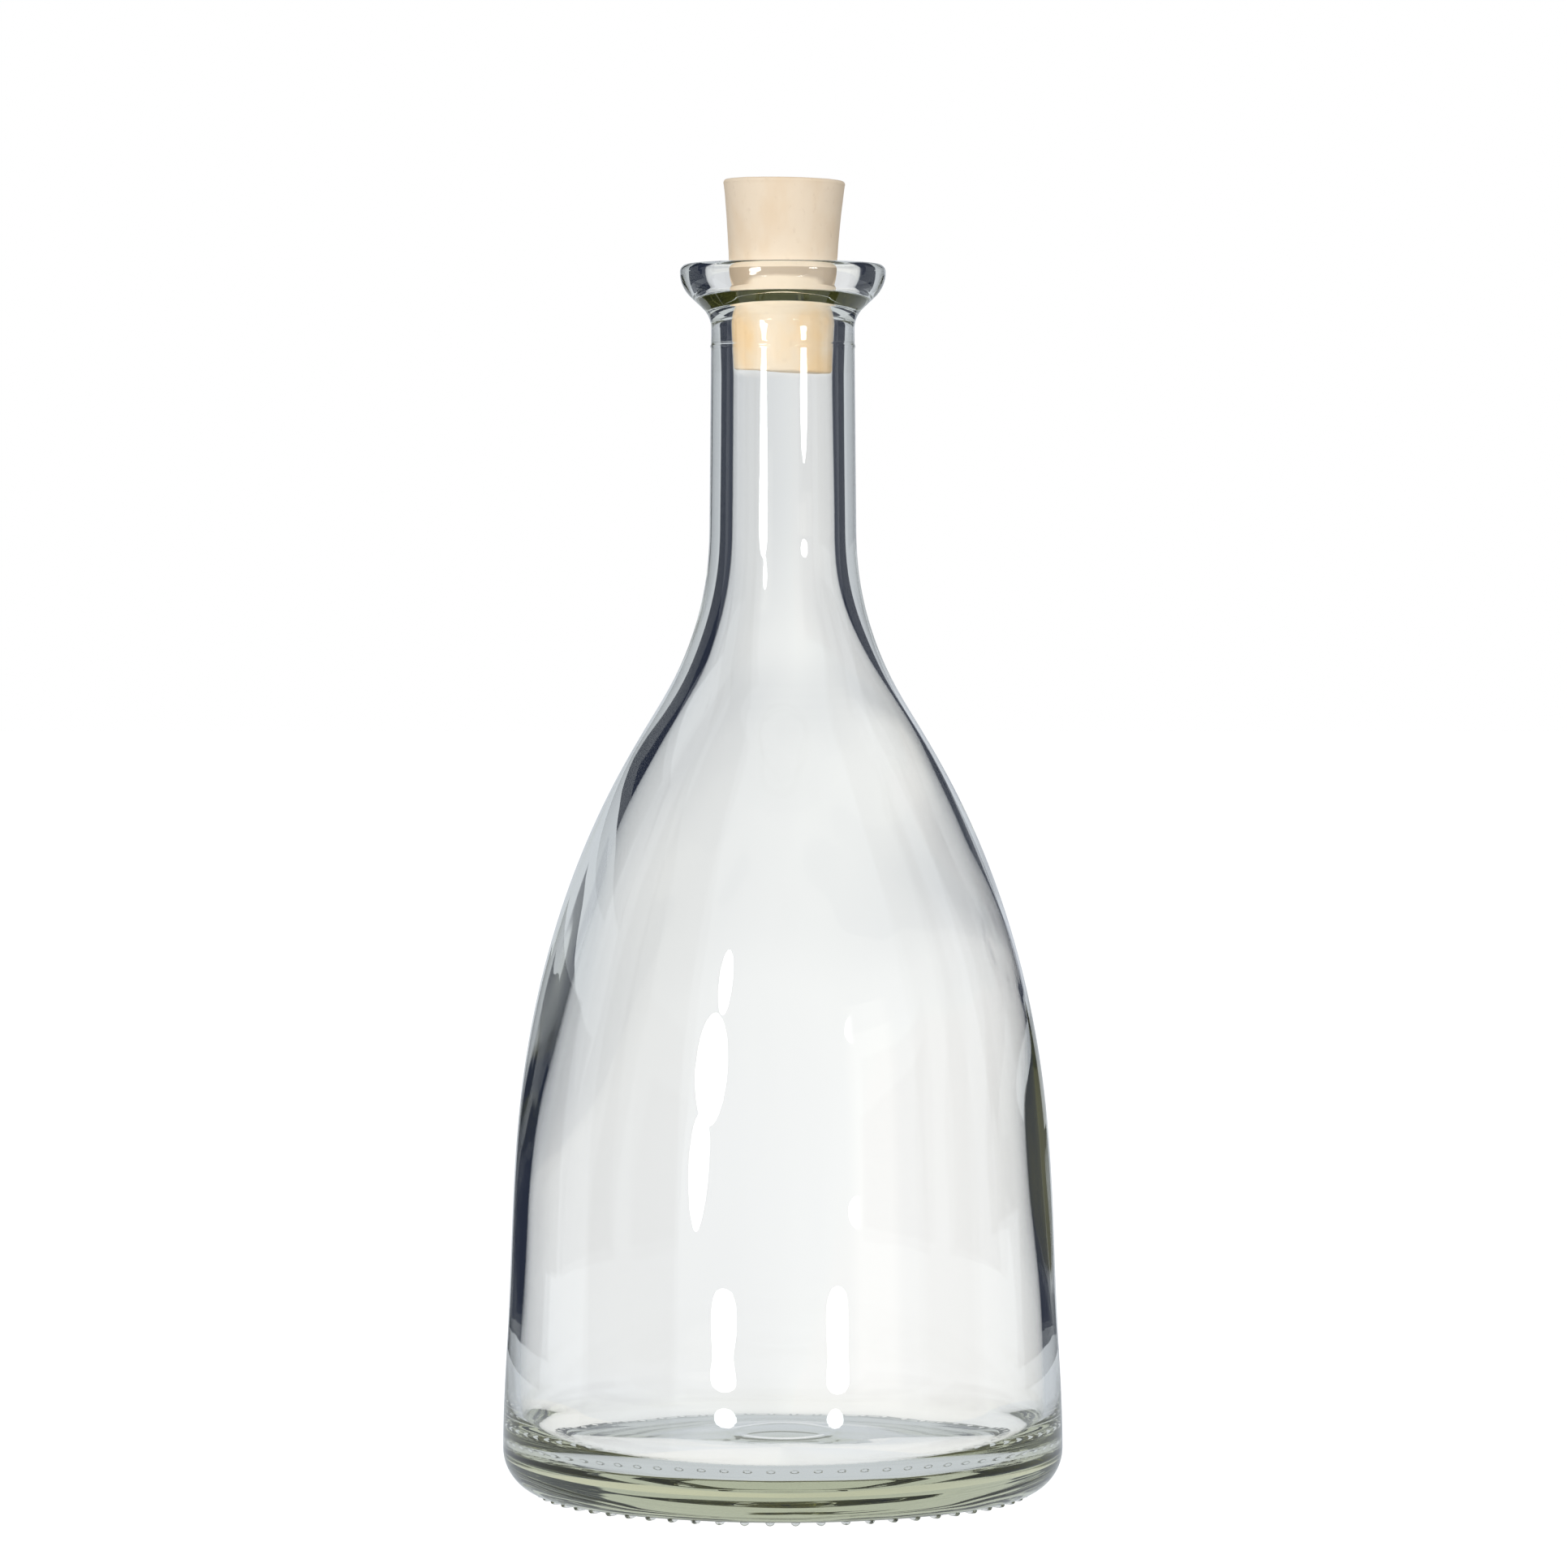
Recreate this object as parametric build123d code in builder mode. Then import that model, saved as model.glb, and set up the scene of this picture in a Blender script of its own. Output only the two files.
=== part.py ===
# A bell-shaped glass bottle with a tapered cork pushed into its mouth.
# It stands on Z = 0 with its axis on Z. Lengths are in millimetres, angles in degrees.

import os
from math import atan2, cos, radians, sin, tan

from build123d import *

# Glass: outside sizes
body_radius = 50.1
body_height = 172.0  # table to the foot of the neck
neck_length = 38.1  # foot of the neck to the start of the flare
neck_foot_radius = 13.1
neck_top_radius = 12.75
flare_height = 5.3  # neck to the lower edge of the lip
lip_height = 4.0
lip_radius = 18.35

# Glass: roundings of the neck and the lip. The lip's side is all rounding, so those two are
# given as shares of its height, and a narrow land is left between them.
collar_radius = 5.0  # hollow rounding under the flare
lip_under_share = 0.645
lip_edge_share = 0.35

# Glass: mouth, a shallow cup whose sloping floor leads to the cork's seat
mouth_radius = 13.9
mouth_depth = 4.1  # top of the lip to the outer edge of the cup's floor
seat_depth = 5.35  # top of the lip to the upper end of the cork's seat
mouth_edge_radius = 1.4
mouth_corner_radius = 0.9
seat_edge_radius = 0.8
throat_radius = 25.0  # where the cork's seat runs out into the bore

# Glass: heel and base
heel_radius = 8.0
heel_turn = 68.0  # degrees that the heel turns before it meets the standing ring
stand_width = 3.6  # flat ring that carries the knurls
punt_height = 5.6  # middle of the underside above the table
floor_height = 7.5  # edge of the inside floor above the table
floor_rise = 3.2  # middle of the inside floor above its edge
floor_corner_radius = 8.0  # hollow corner between the floor and the wall

# Glass: wall thickness
body_wall = 2.4
neck_wall = 4.0
heel_wall = 3.0

# Knurls that the bottle stands on: short bars, each pointing at the axis
knurl_count = 62
knurl_length = 3.0
knurl_width = 1.9
knurl_height = 0.75
knurl_taper = 30.0
knurl_root = 0.3  # how far a knurl reaches into the base

# Ring left on the neck by the joint of the mould
mould_ring_drop = 5.3  # below the start of the flare
mould_ring_proud = 0.15
mould_ring_width = 0.9

# Cork
cork_depth = 19.7  # length inside the mouth
cork_stand_out = 15.2  # length above the lip
cork_bottom_radius = 8.77
cork_seat_radius = 9.67  # level with the top of the lip
cork_top_radius = 10.94
cork_edge_radius = 0.6
cork_clearance = 0.08  # radial gap between the cork and its seat

# Bell outline, from the top of the heel up to the foot of the neck. Each row has the share of
# the height, the share of the radius from the neck's to the body's, and the share of the extra
# wall that the neck has over the body.
bell_shares = [
    (0.145, 0.972, 0.00),
    (0.292, 0.945, 0.00),
    (0.400, 0.903, 0.15),
    (0.500, 0.824, 0.40),
    (0.600, 0.698, 0.75),
    (0.700, 0.516, 1.00),
    (0.780, 0.323, 1.15),
    (0.840, 0.168, 1.20),
    (0.890, 0.077, 1.10),
    (0.940, 0.022, 1.03),
]

# Sizes worked out from the ones above
heel_height = knurl_height + heel_radius * sin(radians(heel_turn))
heel_centre_radius = body_radius - heel_radius
stand_outer_radius = heel_centre_radius + heel_radius * cos(radians(heel_turn))
stand_inner_radius = stand_outer_radius - stand_width
knurl_ring_radius = stand_outer_radius - stand_width / 2
collar_height = body_height + neck_length
mould_ring_height = collar_height - mould_ring_drop
neck_taper = (neck_foot_radius - neck_top_radius) / neck_length
mould_ring_radius = neck_top_radius + neck_taper * mould_ring_drop
lip_foot_height = collar_height + flare_height
glass_height = lip_foot_height + lip_height
flare_angle = atan2(flare_height, lip_radius - neck_top_radius)
lip_under_radius = lip_under_share * lip_height / tan((radians(90) - flare_angle) / 2)
lip_edge_radius = lip_edge_share * lip_height
mouth_foot_height = glass_height - mouth_depth
cork_bottom_height = glass_height - cork_depth
cork_top_height = glass_height + cork_stand_out
cork_taper = (cork_seat_radius - cork_bottom_radius) / cork_depth
bore_radius = cork_bottom_radius + cork_clearance
seat_height = glass_height - seat_depth
seat_radius = bore_radius + cork_taper * (cork_depth - seat_depth)
bore_foot_radius = neck_foot_radius - neck_wall
inner_foot_radius = body_radius - heel_wall
inner_foot_height = floor_height + floor_corner_radius
floor_edge_radius = inner_foot_radius - floor_corner_radius

bell_outside = []
bell_inside = []
for height_share, radius_share, wall_share in bell_shares:
    height = heel_height + height_share * (body_height - heel_height)
    radius = neck_foot_radius + radius_share * (body_radius - neck_foot_radius)
    wall = body_wall + wall_share * (neck_wall - body_wall)
    bell_outside.append((radius, height))
    bell_inside.append((radius - wall, height))

# Glass bottle: one half section turned about the axis, then the knurls added below it
with BuildPart() as glass_bottle:
    with BuildSketch(Plane.XZ):
        with BuildLine():
            underside = TangentArc(
                (0, punt_height), (stand_inner_radius, knurl_height), tangent=(1, 0)
            )
            Line(underside @ 1, (stand_outer_radius, knurl_height))
            CenterArc((heel_centre_radius, heel_height), heel_radius, -heel_turn, heel_turn)
            Spline(
                (body_radius, heel_height),
                *bell_outside,
                (neck_foot_radius, body_height),
                tangents=[(0, 1), (neck_top_radius - neck_foot_radius, neck_length)],
            )
            finish = FilletPolyline(
                (neck_foot_radius, body_height),
                (neck_top_radius, collar_height),
                (lip_radius, lip_foot_height),
                (lip_radius, glass_height),
                (mouth_radius, glass_height),
                (mouth_radius, mouth_foot_height),
                (seat_radius, seat_height),
                (bore_radius, cork_bottom_height),
                (bore_foot_radius, body_height),
                radius=[
                    collar_radius,
                    lip_under_radius,
                    lip_edge_radius,
                    mouth_edge_radius,
                    mouth_corner_radius,
                    seat_edge_radius,
                    throat_radius,
                ],
            )
            Spline(
                (bore_foot_radius, body_height),
                *reversed(bell_inside),
                (inner_foot_radius, inner_foot_height),
                tangents=[finish % 1, (0, -1)],
            )
            CenterArc(
                (floor_edge_radius, inner_foot_height), floor_corner_radius, -90, 90
            )
            Spline(
                (floor_edge_radius, floor_height),
                (0, floor_height + floor_rise),
                tangents=[(-1, 0), (-1, 0)],
            )
            Line((0, floor_height + floor_rise), (0, punt_height))
        make_face()
        with Locations((mould_ring_radius, mould_ring_height)):
            Ellipse(mould_ring_proud, mould_ring_width / 2)
    revolve(axis=Axis.Z)
    with BuildSketch(Plane.XY.offset(knurl_height + knurl_root)):
        with PolarLocations(knurl_ring_radius, knurl_count):
            SlotOverall(knurl_length, knurl_width)
    extrude(amount=-(knurl_height + knurl_root), taper=knurl_taper)
glass_bottle.part.label = "glass_bottle"

# Cork stopper: its lower end follows the seat in the mouth, its upper end flares
with BuildPart() as cork_stopper:
    with BuildSketch(Plane.XZ):
        with BuildLine():
            Line((0, cork_bottom_height), (cork_bottom_radius, cork_bottom_height))
            seat = Line(
                (cork_bottom_radius, cork_bottom_height), (cork_seat_radius, glass_height)
            )
            TangentArc(seat @ 1, (cork_top_radius, cork_top_height), tangent=seat % 1)
            Line((cork_top_radius, cork_top_height), (0, cork_top_height))
            Line((0, cork_top_height), (0, cork_bottom_height))
        make_face()
    revolve(axis=Axis.Z)
    rims = cork_stopper.edges().filter_by(GeomType.CIRCLE).sort_by(Axis.Z)
    fillet([rims[0], rims[-1]], radius=cork_edge_radius)
cork_stopper.part.label = "cork_stopper"

os.makedirs("parts", exist_ok=True)
export_step(glass_bottle.part, "parts/glass_bottle.step")
export_step(cork_stopper.part, "parts/cork_stopper.step")
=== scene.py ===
"""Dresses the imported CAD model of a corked, bell-shaped glass bottle for a studio render.

The glass and the cork are modelled again here from the named sizes of the CAD source, with the
rounded knurls, wavy inner wall and cut cork that the solids leave out, and they take the place of
the two CAD nodes. The object stands on Z = 0 with its axis on Z, and the camera looks along +Y.
Lengths are in metres. Angles are in degrees where a name or a comment says so, else in radians.
"""

import logging
import math
from collections.abc import Callable, Iterator, Sequence
from contextlib import contextmanager
from dataclasses import dataclass
from enum import Enum
from itertools import pairwise

import bmesh
import bpy
import numpy as np
from mathutils import Matrix

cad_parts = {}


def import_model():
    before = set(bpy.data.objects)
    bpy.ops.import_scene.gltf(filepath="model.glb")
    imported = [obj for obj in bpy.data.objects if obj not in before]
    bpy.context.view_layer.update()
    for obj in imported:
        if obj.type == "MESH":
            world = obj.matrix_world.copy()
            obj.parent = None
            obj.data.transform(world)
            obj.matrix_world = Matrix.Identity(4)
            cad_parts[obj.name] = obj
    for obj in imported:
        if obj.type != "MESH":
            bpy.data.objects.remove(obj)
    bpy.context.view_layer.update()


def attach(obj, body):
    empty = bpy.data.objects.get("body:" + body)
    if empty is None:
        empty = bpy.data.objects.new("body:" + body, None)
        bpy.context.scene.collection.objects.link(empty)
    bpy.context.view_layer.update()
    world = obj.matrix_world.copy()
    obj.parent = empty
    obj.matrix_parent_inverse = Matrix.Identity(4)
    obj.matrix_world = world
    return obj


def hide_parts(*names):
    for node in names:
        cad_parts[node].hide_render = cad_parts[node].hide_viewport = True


LOG = logging.getLogger("corked_bottle")
JOIN_DISTANCE = 1e-6  # vertices closer than this are one
QUARTER = 90.0  # degrees
ONCE = 0.5  # a count of bounces over this is one or more

Point = tuple[float, float]  # of an outline: radius and height
Span = tuple[float, float]  # start and end of a range
Colour = tuple[float, float, float]


class Slot(Enum):
    """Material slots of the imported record."""

    GLASS = "clear_glass"
    CORK = "natural_cork"


class Body(Enum):
    """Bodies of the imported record."""

    BOTTLE = "bottle"
    STOPPER = "stopper"


class CardTone(Enum):
    """Colours of the cards that stand round the bottle."""

    LEFT_DARK = (0.022, 0.028, 0.048)
    RIGHT_DARK = (0.034, 0.040, 0.060)
    FRONT_DARK = (0.06, 0.07, 0.10)
    FRONT_GREY = (0.28, 0.29, 0.32)
    WHITE = (1.2, 1.2, 1.2)


# Outlines: lists of (radius, height) points


def arc(centre: Point, radius: float, start: float, turn: float, steps: int) -> list[Point]:
    """Places points along a circular arc.

    Args:
        centre: Radius and height of the arc's centre.
        radius: Radius of the arc itself.
        start: Direction of the first point from the centre, in degrees from outwards.
        turn: Degrees that the arc turns, upwards first.
        steps: Number of equal steps.

    Returns:
        The points from one end to the other.
    """
    angles = [math.radians(start + turn * i / steps) for i in range(steps + 1)]
    return [(centre[0] + radius * math.cos(a), centre[1] + radius * math.sin(a)) for a in angles]


def tangent_arc(start: Point, end: Point, heading: Point, steps: int) -> list[Point]:
    """Places points along the arc that leaves a point in a given direction.

    Args:
        start: First point.
        end: Last point.
        heading: Direction of the arc at its first point.
        steps: Number of equal steps.

    Returns:
        The points from start to end.
    """
    chord = np.subtract(end, start)
    ahead = np.array(heading) / math.hypot(*heading)
    side = np.array((-ahead[1], ahead[0]))
    radius = chord @ chord / (2 * chord @ side)
    centre = start + radius * side
    first = math.degrees(math.atan2(start[1] - centre[1], start[0] - centre[0]))
    turn = 2 * math.degrees(math.atan2(chord @ side, chord @ ahead))
    return arc(tuple(centre), abs(radius), first, turn, steps)


def smooth_curve(
    stations: Sequence[Point], first_heading: Point, last_heading: Point, step: float
) -> list[Point]:
    """Runs one smooth curve through stations, with even curvature changes at each.

    Args:
        stations: Points that the curve goes through.
        first_heading: Direction of the curve at its first point.
        last_heading: Direction of the curve at its last point.
        step: Greatest distance between two points of the result.

    Returns:
        Points of the curve from the first station to the last.
    """
    knots = np.array(stations)
    spans = np.hypot(*np.diff(knots, axis=0).T)
    system, slopes = np.eye(len(knots)), np.zeros_like(knots)
    slopes[0] = np.array(first_heading) / math.hypot(*first_heading)
    slopes[-1] = np.array(last_heading) / math.hypot(*last_heading)
    for i, (before, after) in enumerate(pairwise(spans), start=1):
        system[i, i - 1 : i + 2] = after, 2 * (before + after), before
        rise, next_rise = knots[i] - knots[i - 1], knots[i + 1] - knots[i]
        slopes[i] = 3 * (after / before * rise + before / after * next_rise)
    slopes = np.linalg.solve(system, slopes)
    points = [knots[0]]
    for i, span in enumerate(spans):
        for t in np.linspace(0, 1, math.ceil(span / step) + 1)[1:]:
            points.append(
                (2 * t**3 - 3 * t**2 + 1) * knots[i]
                + (t**3 - 2 * t**2 + t) * span * slopes[i]
                + (3 * t**2 - 2 * t**3) * knots[i + 1]
                + (t**3 - t**2) * span * slopes[i + 1]
            )
    return [(float(radius), float(height)) for radius, height in points]


def rounded_line(corners: Sequence[Point], radii: Sequence[float], steps: int) -> list[Point]:
    """Draws straight runs from corner to corner, with each inner corner rounded.

    Args:
        corners: The line's ends and corners.
        radii: Radius of the rounding at each inner corner.
        steps: Number of steps in each rounding.

    Returns:
        The points of the line, with none along its straight runs.
    """
    points = [corners[0]]
    for i, radius in enumerate(radii, start=1):
        corner = np.array(corners[i])
        back = np.array(corners[i - 1]) - corner
        on = np.array(corners[i + 1]) - corner
        back, on = back / np.hypot(*back), on / np.hypot(*on)
        reach = radius / math.tan(math.acos(back @ on) / 2)
        start, end = corner + reach * back, corner + reach * on
        points += tangent_arc(tuple(start), tuple(end), tuple(-back), steps)
    return [*points, corners[-1]]


def divided(line: Sequence[Point], step: float) -> list[Point]:
    """Adds points along the long runs of a line.

    Args:
        line: Points of the line.
        step: Greatest distance between two points of the result.

    Returns:
        The same line with more points.
    """
    points = [line[0]]
    for (radius, height), (next_radius, next_height) in pairwise(line):
        parts = math.ceil(math.hypot(next_radius - radius, next_height - height) / step)
        for i in range(1, parts + 1):
            share = i / parts
            points.append(
                (radius + share * (next_radius - radius), height + share * (next_height - height))
            )
    return points


def hump(off: float, width: float) -> float:
    """Gives the share, 1 to 0, of a rounded hump at a distance from the middle of its width."""
    return (1 + math.cos(math.pi * min(1.0, abs(off) / (width / 2)))) / 2


def ridged(line: Sequence[Point], height: float, proud: float, width: float) -> list[Point]:
    """Raises a rounded ridge on an upright run of a line.

    Args:
        line: Points of the line, close together at the ridge.
        height: Height of the middle of the ridge.
        proud: How far it stands out.
        width: Its full width along the line.

    Returns:
        The line with its points moved outwards at the ridge.
    """
    return [(radius + proud * hump(level - height, width), level) for radius, level in line]


# Modelling by hand: edit mode, and faces and edges picked by their place


@contextmanager
def editing(piece: bpy.types.Object) -> Iterator[None]:
    """Holds one piece in edit mode, with nothing else selected."""
    if bpy.context.object and bpy.context.object.mode != "OBJECT":
        bpy.ops.object.mode_set(mode="OBJECT")
    bpy.ops.object.select_all(action="DESELECT")
    piece.select_set(True)
    bpy.context.view_layer.objects.active = piece
    bpy.ops.object.mode_set(mode="EDIT")
    try:
        yield
    finally:
        bpy.ops.object.mode_set(mode="OBJECT")


def pick_vertices(piece: bpy.types.Object, test: Callable[[bmesh.types.BMVert], bool]) -> None:
    """Selects the vertices of a piece in edit mode that pass a test, and nothing else."""
    bpy.ops.mesh.select_mode(type="VERT")
    bpy.ops.mesh.select_all(action="DESELECT")
    mesh = bmesh.from_edit_mesh(piece.data)
    for vertex in mesh.verts:
        vertex.select = test(vertex)
    mesh.select_flush_mode()
    bmesh.update_edit_mesh(piece.data)


def draw_line(name: str, points: Sequence[tuple[float, float, float]]) -> bpy.types.Object:
    """Draws a line of edges by extruding one vertex from point to point.

    Args:
        name: Name of the new object.
        points: Places that the line goes through.

    Returns:
        The new object, at the origin.
    """
    bpy.ops.object.select_all(action="DESELECT")
    # The plane's corners are merged into the first vertex, so its size is no matter.
    bpy.ops.mesh.primitive_plane_add(size=0.001, location=points[0])
    bpy.ops.object.transform_apply(location=True, rotation=True, scale=True)
    piece = bpy.context.active_object
    piece.name = piece.data.name = name
    with editing(piece):
        bpy.ops.mesh.select_mode(type="VERT")
        bpy.ops.mesh.select_all(action="SELECT")
        bpy.ops.mesh.merge(type="CENTER")
        for here, there in pairwise(points):
            step = tuple(b - a for a, b in zip(here, there, strict=True))
            bpy.ops.mesh.extrude_region_move(TRANSFORM_OT_translate={"value": step})
    return piece


def draw_outline(name: str, outline: Sequence[Point]) -> bpy.types.Object:
    """Draws an outline of (radius, height) points in the plane of X and Z."""
    return draw_line(name, [(radius, 0.0, height) for radius, height in outline])


def spin_all(steps: int, angle: float, copies: bool = False) -> None:
    """Spins all of the mesh in edit mode round Z.

    Args:
        steps: Number of equal steps.
        angle: Angle of the whole turn, anticlockwise seen from above. With no window, the
            operator turns the other way, so it is given the opposite.
        copies: True to leave a copy at each step, False to draw a surface.
    """
    bpy.ops.mesh.select_all(action="SELECT")
    bpy.ops.mesh.spin(steps=steps, dupli=copies, angle=-angle, center=(0, 0, 0), axis=(0, 0, 1))


def turn(piece: bpy.types.Object, steps: int) -> None:
    """Turns the outline of a piece once round Z into a closed surface.

    Args:
        piece: An object of edges only.
        steps: Number of faces in one turn.
    """
    with editing(piece):
        spin_all(steps, math.tau)
        bpy.ops.mesh.select_all(action="SELECT")
        bpy.ops.mesh.remove_doubles(threshold=JOIN_DISTANCE)


def join(pieces: Sequence[bpy.types.Object]) -> bpy.types.Object:
    """Joins objects into the first one, merges what touches and turns the faces outwards."""
    bpy.ops.object.select_all(action="DESELECT")
    for piece in pieces:
        piece.select_set(True)
    bpy.context.view_layer.objects.active = pieces[0]
    bpy.ops.object.join()
    with editing(pieces[0]):
        bpy.ops.mesh.select_all(action="SELECT")
        bpy.ops.mesh.remove_doubles(threshold=JOIN_DISTANCE)
        bpy.ops.mesh.select_all(action="SELECT")
        bpy.ops.mesh.normals_make_consistent(inside=False)
    return pieces[0]


def shade(piece: bpy.types.Object, sharpest: float) -> None:
    """Shades a piece smooth, apart from edges sharper than a number of degrees."""
    bpy.ops.object.select_all(action="DESELECT")
    piece.select_set(True)
    bpy.context.view_layer.objects.active = piece
    bpy.ops.object.shade_smooth_by_angle(angle=math.radians(sharpest))


def push(
    piece: bpy.types.Object,
    name: str,
    shares: np.ndarray,
    depth: float,
    middle: float = 0.0,
    texture: bpy.types.Texture | None = None,
    frame: bpy.types.Object | None = None,
) -> None:
    """Moves a surface along its normals with a Displace modifier, and applies it.

    Args:
        piece: Piece to press.
        name: Name of the modifier.
        shares: Share of the move, 0 to 1, for each vertex.
        depth: How far the surface goes outwards where the share and the texture are full.
        middle: Value of the texture at which the surface stays.
        texture: Texture that scales the move, or None.
        frame: Object whose own space the texture lies in, or None for the piece's.
    """
    group = piece.vertex_groups.new(name=name)
    for index in np.flatnonzero(shares > 0):
        group.add([int(index)], float(shares[index]), "REPLACE")
    modifier = piece.modifiers.new(name, "DISPLACE")
    modifier.vertex_group = name
    modifier.mid_level = middle
    modifier.strength = depth
    modifier.texture = texture
    modifier.texture_coords = "OBJECT" if frame else "LOCAL"
    modifier.texture_coords_object = frame
    bpy.context.view_layer.objects.active = piece
    bpy.ops.object.modifier_apply(modifier=modifier.name)
    piece.vertex_groups.remove(piece.vertex_groups[name])


def vertex_places(piece: bpy.types.Object) -> np.ndarray:
    """Gives the places of a piece's vertices, one row each."""
    places = np.empty(len(piece.data.vertices) * 3)
    piece.data.vertices.foreach_get("co", places)
    return places.reshape(-1, 3)


@dataclass(frozen=True)
class Unevenness:
    """Clouds that push a surface in and out, as hot glass or cut cork does.

    Attributes:
        name: Name of the texture and of the vertex group that it acts on.
        size: Width of one cloud.
        depth: Full distance between its lowest and highest places.
        stretch: How many times taller than wide a cloud is.
        middle: Share of the depth that lies under the drawn surface.
    """

    name: str
    size: float
    depth: float
    stretch: float = 1.0
    middle: float = 0.5

    def press(self, piece: bpy.types.Object, weigh: Callable[[np.ndarray], np.ndarray]) -> None:
        """Moves the surface along its normals and applies the change.

        Args:
            piece: Piece to press.
            weigh: Gives the share, 0 to 1, for an array of vertex places.
        """
        clouds = bpy.data.textures.new(self.name, "CLOUDS")
        clouds.noise_scale = self.size
        clouds.noise_basis = "IMPROVED_PERLIN"
        clouds.noise_depth = 0
        frame = bpy.data.objects.new(self.name, None)
        bpy.context.scene.collection.objects.link(frame)
        frame.scale = (1.0, 1.0, self.stretch)
        bpy.context.view_layer.update()
        shares = weigh(vertex_places(piece))
        push(piece, self.name, shares, self.depth, self.middle, clouds, frame)
        bpy.data.objects.remove(frame)
        bpy.data.textures.remove(clouds)


@dataclass(frozen=True)
class Swell:
    """A broad patch where the glass ran thicker, or thinner where the depth is below zero.

    Attributes:
        name: Name of the patch.
        azimuth: Degrees of its middle from +X, anticlockwise seen from above.
        height: Height of its middle.
        half_angle: Degrees from its middle to its side.
        half_height: Height from its middle to its upper and lower ends.
        depth: How far the wall stands out at its middle.
    """

    name: str
    azimuth: float
    height: float
    half_angle: float
    half_height: float
    depth: float

    def press(self, piece: bpy.types.Object, weigh: Callable[[np.ndarray], np.ndarray]) -> None:
        """Moves the patch along its normals, fading out towards its edge.

        Args:
            piece: Piece to press.
            weigh: Gives the share, 0 to 1, for an array of vertex places.
        """
        places = vertex_places(piece)
        angle = np.degrees(np.arctan2(places[:, 1], places[:, 0])) - self.azimuth
        angle = np.abs((angle + 180) % 360 - 180) / self.half_angle
        level = np.abs(places[:, 2] - self.height) / self.half_height
        patch = np.cos(np.minimum(angle, 1) * np.pi / 2) ** 2
        patch = patch * np.cos(np.minimum(level, 1) * np.pi / 2) ** 2
        push(piece, self.name, weigh(places) * patch, self.depth)


# Materials


class NodeSheet:
    """Adds and links the nodes of one material, world or node group."""

    def __init__(self, tree: bpy.types.NodeTree) -> None:
        """Starts on an empty tree."""
        tree.nodes.clear()
        self.tree = tree

    def add(self, kind: str, inputs: dict | None = None, **settings: object) -> bpy.types.Node:
        """Adds a node.

        Args:
            kind: Blender's name of the node type.
            inputs: Value or linked socket for each input, by name or number.
            **settings: Other settings of the node.

        Returns:
            The new node.
        """
        node = self.tree.nodes.new(kind)
        for name, value in settings.items():
            setattr(node, name, value)
        for key, value in (inputs or {}).items():
            if isinstance(value, bpy.types.NodeSocket):
                self.tree.links.new(value, node.inputs[key])
            else:
                node.inputs[key].default_value = value
        return node

    def maths(self, operation: str, *values: object) -> bpy.types.NodeSocket:
        """Adds a Math node on values or sockets and returns its result."""
        return self.add("ShaderNodeMath", dict(enumerate(values)), operation=operation).outputs[0]

    def ramp(
        self, value: bpy.types.NodeSocket, start: float, end: float, low: float, high: float
    ) -> bpy.types.NodeSocket:
        """Eases from low to high while a value goes from start to end."""
        inputs = {"Value": value, "From Min": start, "From Max": end, "To Min": low, "To Max": high}
        node = self.add("ShaderNodeMapRange", inputs, interpolation_type="SMOOTHSTEP")
        return node.outputs["Result"]

    def mix(self, share: object, first: object, second: object) -> bpy.types.NodeSocket:
        """Mixes two colours: share 0 gives the first, 1 the second."""
        colours = {
            key: (*value, 1.0) if isinstance(value, tuple) else value
            for key, value in ((6, first), (7, second))
        }
        node = self.add("ShaderNodeMix", {0: share, **colours}, data_type="RGBA")
        return node.outputs[2]

    def show_mixed(
        self, share: bpy.types.NodeSocket, first: bpy.types.Node, second: bpy.types.Node
    ) -> None:
        """Mixes two shaders and puts the result out: share 0 gives the first, 1 the second."""
        shaders = {0: share, 1: first.outputs[0], 2: second.outputs[0]}
        mixed = self.add("ShaderNodeMixShader", shaders)
        self.add("ShaderNodeOutputMaterial", {"Surface": mixed.outputs[0]})

    def azimuth(self, parts: bpy.types.bpy_prop_collection) -> bpy.types.NodeSocket:
        """Gives the degrees to the right of +Y of a direction or place, from its parts."""
        return self.maths("DEGREES", self.maths("ARCTAN2", parts["X"], parts["Y"]))


def new_material(name: str) -> tuple[bpy.types.Material, NodeSheet]:
    """Makes an empty material and the sheet to fill it on."""
    material = bpy.data.materials.new(name)
    material.use_nodes = True
    return material, NodeSheet(material.node_tree)


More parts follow.
